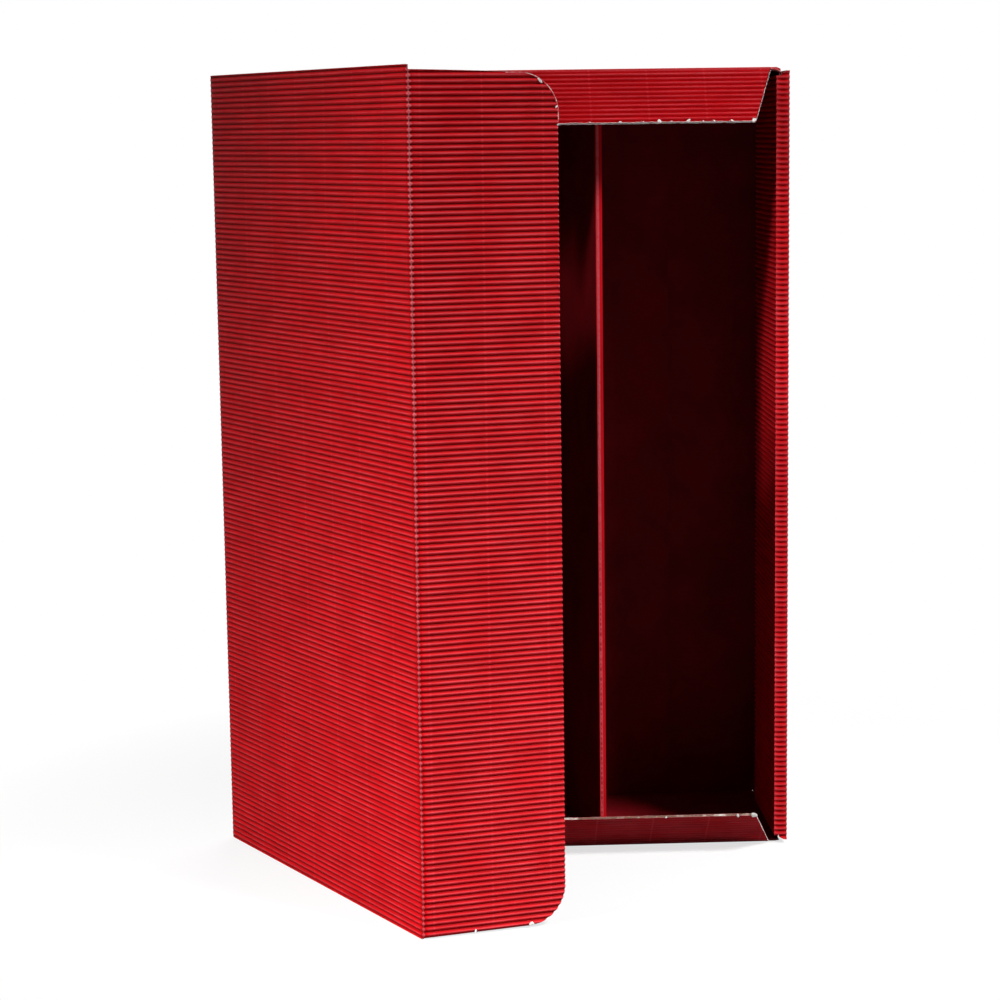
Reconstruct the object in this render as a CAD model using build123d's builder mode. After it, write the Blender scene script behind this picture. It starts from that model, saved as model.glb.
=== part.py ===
"""Opened shipping box for two bottles, folded from open-flute cardboard.

The box stands upright with its front towards -Y. One die-cut sheet makes the back, the
doubled right wall, the end walls with their dust flaps, and the lid: a left wall, a front
cover and a tuck flap that swing on creases. A loose folded insert divides the inside.
Units are millimetres. The origin is on the floor, under the middle of the box.
"""

from build123d import *
from math import cos, floor, radians, sin
import os

os.makedirs("parts", exist_ok=True)

# Box, measured over the crests of the flutes
box_width = 197.5
box_depth = 93.0
box_height = 370.0

# Open-flute board: a liner with one row of ridges glued to its outside
board = 1.3             # liner face to crest
pressed = 0.55          # thickness where the ridges are pressed flat
pitch = 2.436           # one flute
crest = 0.7             # flat top of the ridges that the box stands on
crease_margin = 1.2     # smooth strip beside a fold

# Doubled right wall: outer wall, rim and an inner panel that is rolled back inside
rim_width = 6.5
inner_panel_depth = 65.0
rim_slant = 2.3         # how much lower each end of the inner panel is than the outer wall
wall_gap = 0.4          # from the ends of the outer wall to the liners of the end walls

# End walls, with a dust flap in front and a tab in the doubled wall
dust_flap_length = 29.0
top_flap_lean = 34.0    # degrees in front of upright
bottom_flap_lean = 48.0
flap_setback = 6.4      # flap's fold starts this far from the end wall's side
flap_slant = 9.0        # each flap end narrows by this much
end_wall_gap = 0.5      # between an end wall and the closed left wall
tab_length = 25.0
tab_width = 78.0
tab_taper = 8.0

# Lid: left wall, front cover and tuck flap, hinged one on the other
lid_gap = 0.3           # above the floor and below the top
crease_gap = 0.15       # each panel's edge to its crease line
tuck_clearance = 0.8    # closed tuck flap to the inner panel
tuck_length = 65.0
tuck_step = 2.0         # tuck flap's end to the cover's end, at the crease
tuck_taper = 1.7        # and how much further in it is at the free edge
tuck_corner = 14.0

# How far the lid stands open in the photograph, in degrees
wall_open = 51.0        # left wall, out from its closed place
cover_fold = 100.0      # between left wall and cover
tuck_fold = 103.0       # between cover and tuck flap

# Divider insert: a fin between two flanges that lie on the back panel, its ridges hidden behind
fin_nose = 3.0          # width of the fin's front edge
fin_nose_x = 10.2
fin_setback = 5.0       # nose to the front of the box
fin_foot = 13.0         # width of the fin where it leaves the back
fin_foot_x = 0.5
flange_width = 44.5
insert_gap = 0.2        # to the back panel and the bottom wall
insert_play = 1.0       # to the top wall

# Places that follow from the sizes
right = box_width / 2
left = -right
back = box_depth / 2
front = -back
liner_back = back - board
liner_right = right - board
rim_left = right - rim_width
wall_low = board + wall_gap
wall_high = box_height - wall_low
end_left = left + board + end_wall_gap
end_right = right - rim_width / 2 + board / 2
fold_front = front + 2 * board
lid_height = box_height - 2 * lid_gap
cover_width = rim_left - tuck_clearance - left


def ridges(length, count, first=None, flat=0.0):
    """Points (along, rise) over the ridges of a strip, from one end to the other."""
    if first is None:
        first = (length - count * pitch) / 2
    points = [(0, pressed)]
    for i in range(count):
        middle = first + (i + 0.5) * pitch
        points.append((first + i * pitch, pressed))
        if flat:
            points += [(middle - flat / 2, board), (middle + flat / 2, board)]
        else:
            points.append((middle, board))
    return points + [(first + count * pitch, pressed), (length, pressed)]


def flute_count(length):
    """Whole flutes that fit on a strip between two folds."""
    return floor((length - 2 * crease_margin) / pitch)


def strip_outline(length):
    """Outline of a flat strip's edge: x is the rise from the liner, y runs along it."""
    outer = [(rise, along) for along, rise in ridges(length, flute_count(length))]
    return [(0, 0), *outer, (0, length)]


def folded_outline(corners, ridge_rows):
    """Outline of a folded strip, from the corners of its liner and each leg's ridges.

    The ridges are on the right of the way along the corners.
    """
    corners = [Vector(*corner) for corner in corners]
    ways = [(b - a).normalized() for a, b in zip(corners, corners[1:])]
    sides = [Vector(way.Y, -way.X) for way in ways]
    outer = []
    for i, (start, way, side, row) in enumerate(zip(corners, ways, sides, ridge_rows)):
        outer += [start + way * along + side * rise for along, rise in row[1:-1]]
        if i + 1 < len(ways):
            turn = side + sides[i + 1]
            outer.append(corners[i + 1] + turn * (pressed / (1 + side.dot(sides[i + 1]))))
    first = corners[0] + sides[0] * pressed
    last = corners[-1] + sides[-1] * pressed
    points = [*corners, last, *reversed(outer), first]
    return [(point.X, point.Y) for point in points]


def plan_way(degrees):
    """Unit vector in plan, counterclockwise from +X."""
    return Vector(cos(radians(degrees)), sin(radians(degrees)))


# Crease lines of the open lid, in plan, each on the outside of the board
wall_way = plan_way(-90 - wall_open)
cover_way = plan_way(-90 - wall_open + 180 - cover_fold)
tuck_way = plan_way(-90 - wall_open + 180 - cover_fold + 180 - tuck_fold)
wall_crease = Vector(left, back)
cover_crease = wall_crease + wall_way * box_depth
tuck_crease = cover_crease + cover_way * cover_width


def outside_of(way):
    """Outward normal of a lid panel that runs this way from its crease."""
    return Vector(way.Y, -way.X)


def lid_plane(crease, way, height):
    """Plane across a lid panel at its crease: x is outwards from the liner, y is down."""
    liner = crease + way * crease_gap - outside_of(way) * board
    top = (box_height + height) / 2
    return Plane(origin=(liner.X, liner.Y, top), x_dir=outside_of(way), z_dir=way)


def mitre_plane(crease, inwards, outside):
    """Plane at 45 degrees beside a crease: a panel's edge is cut back on its inner side."""
    return Plane(origin=crease + inwards * crease_gap, z_dir=inwards + outside)


def end_wall_outline(lean):
    """Outline of the top end wall and its dust flap, in the plane of Y and Z."""
    fold = Vector(fold_front, box_height - board)
    flap_way = Vector(-sin(radians(lean)), -cos(radians(lean)))
    corners = [
        (liner_back, wall_high),
        (liner_back, box_height - board),
        (fold.X, fold.Y),
        fold + flap_way * dust_flap_length,
    ]
    corners[-1] = (corners[-1].X, corners[-1].Y)
    beside_middle = floor((-fold_front - crease_margin) / pitch - 0.5)
    rows = [
        [(0, pressed), (0, pressed)],
        ridges(
            liner_back - fold_front,
            2 * beside_middle + 1,
            first=liner_back - (beside_middle + 0.5) * pitch,
            flat=crest,
        ),
        ridges(dust_flap_length, flute_count(dust_flap_length), flat=crest),
    ]
    return folded_outline(corners, rows)


# Tray: back, right wall, rim and inner panel are one strip swept round the box in plan
wrap_corners = [
    (left + crease_gap, liner_back),
    (liner_right, liner_back),
    (liner_right, -liner_back),
    (rim_left + board, -liner_back),
    (rim_left + board, front + inner_panel_depth),
]

with BuildPart() as tray:
    with BuildLine(Plane.XY.offset(wall_low)):
        Polyline(*wrap_corners)
    wrap_start = Plane(
        origin=(*wrap_corners[0], wall_low), x_dir=(0, 1, 0), z_dir=(1, 0, 0)
    )
    with BuildSketch(wrap_start):
        with BuildLine():
            Polyline(*strip_outline(wall_high - wall_low), close=True)
        make_face()
    sweep(transition=Transition.RIGHT)
    split(bisect_by=Plane(origin=(left + crease_gap, back), z_dir=(1, 1, 0)), keep=Keep.TOP)

    # The rim's ends slant down to the lower ends of the inner panel
    with BuildSketch(Plane.XZ.offset(-(front + inner_panel_depth + 1))):
        with BuildLine():
            Polyline(
                (liner_right, wall_high),
                (rim_left + board, wall_high - rim_slant),
                (rim_left - board, wall_high - rim_slant),
                (rim_left - board, wall_high + board),
                (liner_right, wall_high + board),
                close=True,
            )
        make_face()
        mirror(about=Plane.XZ.offset(-box_height / 2))
    extrude(amount=inner_panel_depth + 2, mode=Mode.SUBTRACT)

    # End walls: each is folded forward from the back and ends in a dust flap
    for lean, upright in ((top_flap_lean, 1), (bottom_flap_lean, -1)):
        middle = box_height / 2
        outline = [(y, middle + upright * (z - middle)) for y, z in end_wall_outline(lean)]
        with BuildSketch(Plane.YZ.offset(end_left)):
            with BuildLine():
                Polyline(*outline, close=True)
            make_face()
        extrude(amount=end_right - end_left)

        # The flap starts inside the wall's sides and narrows to its free edge
        fold_z = middle + upright * (middle - board)
        flap_way = Vector(0, -sin(radians(lean)), -upright * cos(radians(lean)))
        flap_plane = Plane(
            origin=(0, fold_front, fold_z), x_dir=(1, 0, 0), z_dir=Vector(1, 0, 0).cross(flap_way)
        )
        with BuildSketch(flap_plane):
            for side, edge in ((1, end_right), (-1, end_left)):
                fold_x = edge - side * flap_setback
                free_x = fold_x - side * flap_slant
                with BuildLine():
                    Polyline(
                        (fold_x, 0),
                        (free_x, dust_flap_length),
                        (free_x, dust_flap_length + board),
                        (edge + side * board, dust_flap_length + board),
                        (edge + side * board, 0),
                        close=True,
                    )
                make_face()
        extrude(amount=2 * board, both=True, mode=Mode.SUBTRACT)

        # A tapered tab goes into the doubled wall
        tab_root = middle + upright * (middle - board)
        with BuildSketch(Plane.XY.offset(tab_root)):
            with BuildLine():
                tab_ridges = ridges(tab_width, flute_count(tab_width))
                outer = [
                    (end_right - board + rise, along - tab_width / 2) for along, rise in tab_ridges
                ]
                Polyline(
                    (end_right - board, -tab_width / 2),
                    *outer,
                    (end_right - board, tab_width / 2),
                    close=True,
                )
            make_face()
        extrude(amount=-upright * tab_length)
        with BuildSketch(Plane.YZ.offset(end_right + board)):
            for side in (1, -1):
                with BuildLine():
                    Polyline(
                        (side * tab_width / 2, tab_root),
                        (side * (tab_width / 2 - tab_taper), tab_root - upright * tab_length),
                        (side * tab_width / 2, tab_root - upright * tab_length),
                        close=True,
                    )
                make_face()
        extrude(amount=-2.5 * board, mode=Mode.SUBTRACT)

tray.part.label = "tray"
export_step(tray.part, "parts/tray.step")


# Left wall of the lid, from the back crease to the cover
with BuildPart() as left_wall:
    with BuildSketch(lid_plane(wall_crease, wall_way, lid_height)):
        with BuildLine():
            Polyline(*strip_outline(lid_height), close=True)
        make_face()
    extrude(amount=box_depth - 2 * crease_gap)
    split(bisect_by=mitre_plane(wall_crease, wall_way, outside_of(wall_way)), keep=Keep.TOP)
    split(bisect_by=mitre_plane(cover_crease, -wall_way, outside_of(wall_way)), keep=Keep.TOP)

left_wall.part.label = "left_wall"
export_step(left_wall.part, "parts/left_wall.step")


# Front cover, from the left wall to the tuck flap
with BuildPart() as front_cover:
    with BuildSketch(lid_plane(cover_crease, cover_way, lid_height)):
        with BuildLine():
            Polyline(*strip_outline(lid_height), close=True)
        make_face()
    extrude(amount=cover_width - 2 * crease_gap)
    split(bisect_by=mitre_plane(cover_crease, cover_way, outside_of(cover_way)), keep=Keep.TOP)
    split(bisect_by=mitre_plane(tuck_crease, -cover_way, outside_of(cover_way)), keep=Keep.TOP)

front_cover.part.label = "front_cover"
export_step(front_cover.part, "parts/front_cover.step")


# Tuck flap, a little shorter than the cover, with round corners on its free edge
with BuildPart() as tuck_flap:
    with BuildSketch(lid_plane(tuck_crease, tuck_way, lid_height)):
        with BuildLine():
            Polyline(*strip_outline(lid_height), close=True)
        make_face()
    extrude(amount=tuck_length - crease_gap)
    split(bisect_by=mitre_plane(tuck_crease, tuck_way, outside_of(tuck_way)), keep=Keep.TOP)
    tuck_face = Plane(origin=tuck_crease, x_dir=tuck_way, z_dir=outside_of(tuck_way))
    with BuildSketch(tuck_face) as tuck_shape:
        low = lid_gap + tuck_step
        with BuildLine():
            Polyline(
                (0, low),
                (tuck_length, low + tuck_taper),
                (tuck_length, box_height - low - tuck_taper),
                (0, box_height - low),
                close=True,
            )
        make_face()
        fillet(tuck_shape.vertices().group_by(Axis.X)[-1], radius=tuck_corner)
    extrude(amount=2 * board, both=True, mode=Mode.INTERSECT)

tuck_flap.part.label = "tuck_flap"
export_step(tuck_flap.part, "parts/tuck_flap.step")


# Divider insert: one strip with its smooth liner towards the bottles, from right to left
insert_low = board + insert_gap
insert_high = box_height - board - insert_play
flange_face = liner_back - insert_gap - board
nose_front = front + fin_setback
insert_corners = [
    (fin_foot_x + fin_foot / 2 + flange_width, flange_face),
    (fin_foot_x + fin_foot / 2, flange_face),
    (fin_nose_x + fin_nose / 2, nose_front),
    (fin_nose_x - fin_nose / 2, nose_front),
    (fin_foot_x - fin_foot / 2, flange_face),
    (fin_foot_x - fin_foot / 2 - flange_width, flange_face),
]

with BuildPart() as divider_insert:
    with BuildLine(Plane.XY.offset(insert_high)):
        Polyline(*insert_corners)
    insert_start = Plane(
        origin=(*insert_corners[0], insert_high), x_dir=(0, 1, 0), z_dir=(-1, 0, 0)
    )
    with BuildSketch(insert_start):
        with BuildLine():
            Polyline(*strip_outline(insert_high - insert_low), close=True)
        make_face()
    sweep(transition=Transition.RIGHT)

divider_insert.part.label = "divider_insert"
export_step(divider_insert.part, "parts/divider_insert.step")
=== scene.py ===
# %% [markdown]
# # A bottle shipping box, folded from open-flute board
#
# The real box is one die-cut sheet of red single-face board: a smooth paper liner with one row
# of fine flutes glued to its outside. A loose divider is folded from a second sheet. Each piece
# here is made the same way as the real one: a flat blank is laid up flute by flute, cut, folded
# at its creases and put in place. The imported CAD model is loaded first. It gives the frame that
# all the folds have to hit.

# %% Load the frame
import math
import random

import bpy
import numpy as np
from mathutils import Matrix, Vector


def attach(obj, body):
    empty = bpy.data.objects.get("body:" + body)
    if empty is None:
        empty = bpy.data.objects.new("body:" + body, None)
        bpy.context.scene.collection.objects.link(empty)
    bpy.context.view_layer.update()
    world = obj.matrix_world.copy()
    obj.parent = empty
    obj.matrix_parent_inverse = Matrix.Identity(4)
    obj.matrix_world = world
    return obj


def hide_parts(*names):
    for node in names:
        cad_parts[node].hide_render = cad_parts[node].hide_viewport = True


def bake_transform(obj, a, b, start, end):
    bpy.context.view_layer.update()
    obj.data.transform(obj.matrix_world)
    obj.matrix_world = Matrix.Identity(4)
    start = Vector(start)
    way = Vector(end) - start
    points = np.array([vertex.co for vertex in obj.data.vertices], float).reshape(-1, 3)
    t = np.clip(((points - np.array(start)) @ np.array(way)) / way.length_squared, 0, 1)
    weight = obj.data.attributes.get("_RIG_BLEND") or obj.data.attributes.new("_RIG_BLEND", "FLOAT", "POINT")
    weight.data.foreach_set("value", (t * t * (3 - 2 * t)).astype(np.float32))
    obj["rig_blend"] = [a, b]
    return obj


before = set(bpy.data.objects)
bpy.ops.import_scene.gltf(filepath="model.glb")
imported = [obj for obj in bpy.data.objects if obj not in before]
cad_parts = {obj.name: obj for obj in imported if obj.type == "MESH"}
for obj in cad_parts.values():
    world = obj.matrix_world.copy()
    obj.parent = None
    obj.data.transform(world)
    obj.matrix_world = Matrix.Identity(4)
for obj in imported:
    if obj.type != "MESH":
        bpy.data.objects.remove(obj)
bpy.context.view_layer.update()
MM = 0.001

# %% [markdown]
# ## The camera
#
# The photograph was taken from a little above and to the left of the box's middle with a long
# lens, so that its upright edges stay almost parallel. The place and the angles come from fitting
# corners of the box to the picture. A camera that looks down its own -Z axis is built from three
# directions: right, up and back.

# %% Camera
FOCAL_PIXELS = 2472.7
YAW, PITCH, ROLL = (math.radians(a) for a in (2.340, 8.491, 0.769))

camera_data = bpy.data.cameras.new("camera")
camera_data.sensor_width = 36
camera_data.lens = 36 * FOCAL_PIXELS / 1000
camera_data.clip_end = 20
camera = bpy.data.objects.new("camera", camera_data)
bpy.context.scene.collection.objects.link(camera)

level_right = Vector((math.cos(YAW), -math.sin(YAW), 0))
level_ahead = Vector((math.sin(YAW), math.cos(YAW), 0))
ahead = level_ahead * math.cos(PITCH) - Vector((0, 0, math.sin(PITCH)))
straight_up = level_ahead * math.sin(PITCH) + Vector((0, 0, math.cos(PITCH)))
right_way = level_right * math.cos(ROLL) - straight_up * math.sin(ROLL)
up_way = level_right * math.sin(ROLL) + straight_up * math.cos(ROLL)
camera.matrix_world = Matrix.Translation(Vector((-85.01, -1197.59, 342.37)) * MM) @ Matrix(
    (right_way, up_way, -ahead)
).transposed().to_4x4()
bpy.context.scene.camera = camera
print("lens", round(camera_data.lens, 2), "mm")

# %% [markdown]
# ## Colours and one node helper
#
# Colours are written as the hex numbers that a paint program shows and are turned linear by one
# function. One more helper adds a node. It takes the node's values by name, or as a plain list in
# the order in which the node shows them, and links those that come from another node. It gives
# back an output, so that each material below reads as a short list of what it is made of.

# %% Material helpers
def colour(hex_code):
    """Linear RGBA from an sRGB hex colour."""
    channels = [int(hex_code[i:i + 2], 16) / 255 for i in (1, 3, 5)]
    linear = [c / 12.92 if c <= 0.04045 else ((c + 0.055) / 1.055) ** 2.4 for c in channels]
    return (*linear, 1.0)


def add_node(material, kind, values=(), out=None, **settings):
    """Add a node, set it up, fill or link its inputs, and give back the output to use."""
    node = material.node_tree.nodes.new(kind)
    for name, value in settings.items():
        setattr(node, name, value)
    if not isinstance(values, dict):
        live = [place for place, socket in enumerate(node.inputs) if socket.enabled]
        values = dict(zip(live, values))
    for socket, value in values.items():
        if isinstance(value, bpy.types.NodeSocket):
            material.node_tree.links.new(value, node.inputs[socket])
        else:
            node.inputs[socket].default_value = value
    if out:
        return node.outputs[out]
    return next((socket for socket in node.outputs if socket.enabled), None)


def new_material(name):
    """An empty node material."""
    material = bpy.data.materials.new(name)
    material.use_nodes = True
    material.node_tree.nodes.clear()
    return material


print("red", colour("#C8161E"))

# %% [markdown]
# ## What all the papers share
#
# Kraft paper is pressed dry from long fibres, so it is dull, faintly patchy, and has a fine felt
# of fibres that stand up a little. Real fibres are some 0.03 mm thick, far too fine to show here,
# so they are drawn 0.2 to 0.4 mm across. Patterns on the board are laid out in millimetres on the
# flat blank, before it is folded: each blank keeps how far along it and how far up it a point was.

# %% Paper in general
FIBRE_DEPTH = 0.2 * MM
PAPER_GLOSS = 0.03
NOISE_ROUGHNESS = 0.6


def dye_patches(material, long, high, detail=3.0):
    """Uneven patches on the flat blank, about so many millimetres long and high."""
    along, up = (
        add_node(material, "ShaderNodeMath", [
            add_node(material, "ShaderNodeAttribute", out="Fac", attribute_name=name), size,
        ], operation="DIVIDE")
        for name, size in (("along", long), ("up", high))
    )
    place = add_node(material, "ShaderNodeCombineXYZ", [along, up])
    return add_node(material, "ShaderNodeTexNoise", {
        "Vector": place, "Scale": 1.0, "Detail": detail, "Roughness": NOISE_ROUGHNESS,
    })


def flecks(material, size, detail=3.0):
    """Flecks about so many millimetres across, in the space of a piece that was never a blank."""
    return add_node(material, "ShaderNodeTexNoise", {
        "Vector": add_node(material, "ShaderNodeTexCoord", out="Object"),
        "Scale": 1 / (size * MM), "Detail": detail, "Roughness": NOISE_ROUGHNESS,
    })


def dull_paper(material, tone, fibres, roughness, raised):
    """The skin of every paper: dull, with fine fibres that stand up a little."""
    bump = add_node(material, "ShaderNodeBump", {
        "Height": fibres, "Strength": raised, "Distance": FIBRE_DEPTH,
    })
    return add_node(material, "ShaderNodeBsdfPrincipled", {
        "Base Color": tone, "Roughness": roughness, "Specular IOR Level": PAPER_GLOSS,
        "Normal": bump,
    })


print("fibres stand up", round(FIBRE_DEPTH / MM, 2), "mm")

# %% [markdown]
# ## Red kraft paper on the flutes
#
# This paper is dyed a strong red and pressed wavy between hot toothed rollers. The eye sees faint
# streaks along the flutes, and no two flutes in quite the same red. Pale lines cross them every
# 27 mm, where the fingers of the fluting machine held the paper. The crests are a little paler and
# pinker, partly rubbed and partly a painted highlight, and the valleys get a painted shade, nearly
# black. At the creases the dye is worn off, further along a crest than in a valley. Low down, the
# painted valley shade and the crease wear are both weaker. The blank also keeps how high on its
# flute (rise) and how near a crease a point is. First come the patterns that follow those, each a
# row of numbers: what it reads, the two values of that at which it starts and ends, and what it is
# at each.

# %% Fluted paper
FLUTE = 2.436
FIRST_VALLEY = 1.082
FINGER_GAP = 26.6

flute_paper = new_material("red kraft paper on flutes")
up, rise, web, near_crease = (
    add_node(flute_paper, "ShaderNodeAttribute", out="Fac", attribute_name=name)
    for name in ("up", "rise", "web", "near_crease")
)
flutes_up = add_node(flute_paper, "ShaderNodeMath", [up, FLUTE], operation="DIVIDE")
which_flute = add_node(flute_paper, "ShaderNodeMath", [flutes_up], operation="FLOOR")
flute_luck = add_node(
    flute_paper, "ShaderNodeTexWhiteNoise", {"W": which_flute}, noise_dimensions="1D"
)
from_valley = add_node(
    flute_paper, "ShaderNodeMath", [flutes_up, FIRST_VALLEY / FLUTE], operation="SUBTRACT"
)
crest = add_node(flute_paper, "ShaderNodeMath", [from_valley, 0.5], operation="PINGPONG")
finger = add_node(flute_paper, "ShaderNodeMath", [web, FINGER_GAP / 2], operation="PINGPONG")
fibres = dye_patches(flute_paper, 0.4, 0.2, 5.0)

masks = {
    name: add_node(flute_paper, "ShaderNodeMapRange", reads_from_to_values)
    for name, *reads_from_to_values in (
        ("streaks", dye_patches(flute_paper, 33, 1.1), 0.35, 0.65, 0, 1),
        ("own shade", flute_luck, 0, 1, 0, 0.22),
        # The crest and rubbing marks place a pale pink on the crests: partly rubbed wear, partly a painted
        # highlight.
        ("crest", rise, 0.75, 1.25, 0, 1),
        ("rubbing", dye_patches(flute_paper, 20, 20, 2.0), 0.35, 0.7, 0.4, 1),
        # The valley mask sets where the painted valley shade goes.
        ("valley", rise, 0, 0.45, 1, 0),
        ("reach", crest, 0.12, 0.42, 0.35, 1.9),
        ("wear", dye_patches(flute_paper, 1.7, 2), 0.35, 0.6, 0.4, 1),
        ("finger", finger, 0, 0.7, 0.5, 0),
        ("top", rise, 0.5, 1, 0, 1),
        ("roughness", fibres, 0.3, 0.7, 0.45, 0.58),
        # This mask makes the painted valley shade and the crease wear stronger higher up the box.
        ("more painted shade and wear up high", up, 40, 330, 0.6, 1),
    )
}
print("patterns on the flutes", list(masks))

# %% [markdown]
# Pairs of patterns are multiplied, so that a shade shows only where both agree. The wear at a
# crease fades where the distance to the crease passes its reach, 0.35 mm in a valley and 1.9 mm on
# a crest. Then the shades are laid over each other, each through its mask.

# %% Shades of the fluted paper
for name, one, other in (
    ("painted valley shade", "valley", "more painted shade and wear up high"), ("wear reach", "reach", "more painted shade and wear up high"),
    ("rubbed and painted highlight", "crest", "rubbing"), ("finger line", "finger", "top"),
):
    masks[name] = add_node(
        flute_paper, "ShaderNodeMath", [masks[one], masks[other]], operation="MULTIPLY"
    )
past_wear = add_node(
    flute_paper, "ShaderNodeMath", [near_crease, masks["wear reach"]], operation="SUBTRACT"
)
worn = add_node(flute_paper, "ShaderNodeMapRange", [past_wear, -0.3, 0.1, 0.85, 0])
for fade in ("wear", "more painted shade and wear up high"):
    worn = add_node(flute_paper, "ShaderNodeMath", [worn, masks[fade]], operation="MULTIPLY")
masks["worn"] = worn

tone = colour("#AE060D")
# The near-black valley colour is painted shade. The pale pink on the crests is partly rubbed wear and partly
# a painted highlight.
for name, shade in (
    ("streaks", "#D00D17"), ("own shade", "#98050C"), ("rubbed and painted highlight", "#EA5660"),
    ("painted valley shade", "#300301"), ("worn", "#E0727A"), ("finger line", "#E84650"),
):
    layers = [masks[name], tone, colour(shade)]
    tone = add_node(flute_paper, "ShaderNodeMix", layers, data_type="RGBA")
skin = dull_paper(flute_paper, tone, fibres, masks["roughness"], raised=0.25)
add_node(flute_paper, "ShaderNodeOutputMaterial", {"Surface": skin})
print(flute_paper.name, "has", len(flute_paper.node_tree.nodes), "nodes")

# %% [markdown]
# ## The smooth liner, and the cut edge of the paper
#
# Inside, the liner is machine-glazed kraft, dyed red. It is smooth and shows the faint shadow of
# the flutes glued behind it, one line every 2.4 mm. Over the divider's nose, where it is bent
# outwards, a much lighter red is painted for the light that falls on the nose, with a pink that is
# partly rubbed by hands and partly a painted highlight. Where the board is cut, the dye stops at
# the paper's faces, so the edge is pale and slightly dirty.

# %% Liner
liner_paper = new_material("smooth red liner paper")
up, near_nose = (
    add_node(liner_paper, "ShaderNodeAttribute", out="Fac", attribute_name=name)
    for name in ("up", "near_nose")
)
flutes_up = add_node(liner_paper, "ShaderNodeMath", [up, FLUTE], operation="DIVIDE")
glue_line = add_node(liner_paper, "ShaderNodeMath", [flutes_up, 0.5], operation="PINGPONG")
fibres = dye_patches(liner_paper, 0.35, 0.35, 5.0)

masks = {
    name: add_node(liner_paper, "ShaderNodeMapRange", reads_from_to_values)
    for name, *reads_from_to_values in (
        ("clouds", dye_patches(liner_paper, 33, 33), 0.35, 0.65, 0, 1),
        ("glue", glue_line, 0, 0.2, 0.12, 0),
        # A much lighter red over the nose: painted light for the light that falls on it.
        ("painted nose light", near_nose, 1.9, 2.3, 0.9, 0),
        ("nose", near_nose, 0.45, 0.85, 0.6, 0),
        ("hands", dye_patches(liner_paper, 3.3, 3.3), 0.3, 0.6, 0.5, 1),
        ("roughness", fibres, 0.3, 0.7, 0.5, 0.62),
    )
}
# Pink on the nose: partly rubbed by hands, partly a painted highlight.
masks["rubbed and painted highlight"] = add_node(
    liner_paper, "ShaderNodeMath", [masks["nose"], masks["hands"]], operation="MULTIPLY"
)
tone = colour("#640D13")
for name, shade in (
    ("clouds", "#771018"), ("glue", "#560A0F"), ("painted nose light", "#E01622"), ("rubbed and painted highlight", "#E8707A"),
):
    layers = [masks[name], tone, colour(shade)]
    tone = add_node(liner_paper, "ShaderNodeMix", layers, data_type="RGBA")
skin = dull_paper(liner_paper, tone, fibres, masks["roughness"], raised=0.2)
add_node(liner_paper, "ShaderNodeOutputMaterial", {"Surface": skin})
print(liner_paper.name, "has", len(liner_paper.node_tree.nodes), "nodes")

# %% Cut edge
cut_edge = new_material("pale cut edge of red paper")
fray = dye_patches(cut_edge, 2.5, 2.5, 4.0)
frayed_through = add_node(cut_edge, "ShaderNodeMapRange", [fray, 0.35, 0.65, 0, 1])
tone = add_node(
    cut_edge, "ShaderNodeMix", [frayed_through, colour("#A83C42"), colour("#D89A98")],
    data_type="RGBA",
)
skin = dull_paper(cut_edge, tone, fray, 0.8, raised=0.3)
add_node(cut_edge, "ShaderNodeOutputMaterial", {"Surface": skin})
print(cut_edge.name, "has", len(cut_edge.node_tree.nodes), "nodes")

# %% [markdown]
# ## Torn paper
#
# Where the board is cut along a flute, torn or cracked, the inside of the paper shows, dull and
# fibrous. An old tear is kraft brown with pale patches some 8 mm long and grey dirt in it. A fresh
# nick is nearly white. A frayed edge is half white and half still pink with dye.

# %% Torn paper
torn_paper, white_paper, frayed_paper = (
    new_material(name)
    for name in ("kraft core of a torn edge", "white paper core at nicks", "frayed red paper")
)
for material, patch, fluff, low, high, shades in (
    (torn_paper, 7.7, 0.35, 0.48, 0.66, ("#7E6252", "#DCD2CA")),
    (white_paper, 0.67, 0.67, 0.35, 0.65, ("#E4DCD8", "#FAF8F6")),
    (frayed_paper, 3.0, 0.5, 0.42, 0.62, ("#D4606A", "#F2DEDA")),
):
    bare = add_node(material, "ShaderNodeMapRange", [flecks(material, patch), low, high, 0, 1])
    layers = [bare, *(colour(shade) for shade in shades)]
    tone = add_node(material, "ShaderNodeMix", layers, data_type="RGBA")
    if material is torn_paper:
        dirt = add_node(material, "ShaderNodeMapRange", [flecks(material, 2.0), 0.52, 0.7, 0, 0.7])
        layers = [dirt, tone, colour("#6E5C56")]
        tone = add_node(material, "ShaderNodeMix", layers, data_type="RGBA")
    skin = dull_paper(material, tone, flecks(material, fluff), 0.85, raised=0.4)
    add_node(material, "ShaderNodeOutputMaterial", {"Surface": skin})
print("materials", [m.name for m in bpy.data.materials])

# %% [markdown]
# ## Picking parts of a mesh by their place
#
# By hand one would box-select a row of points. In a script the same is done with numbers: read
# where all the points are, decide which ones to take, and go into edit mode with only those
# selected.

# %% Picking and placing
def only(obj):
    """Leave one object selected and active."""
    bpy.ops.object.select_all(action="DESELECT")
    obj.select_set(True)
    bpy.context.view_layer.objects.active = obj


def spots(obj):
    """Where the points of a mesh are, in millimetres, one row each."""
    places = np.empty(len(obj.data.vertices) * 3)
    obj.data.vertices.foreach_get("co", places)
    return places.reshape(-1, 3) / MM


def flat_place(obj, name):
    """One number for each point of a blank, kept from when it was flat: along, up or rise."""
    values = np.empty(len(obj.data.vertices))
    obj.data.attributes[name].data.foreach_get("value", values)
    return values


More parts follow.
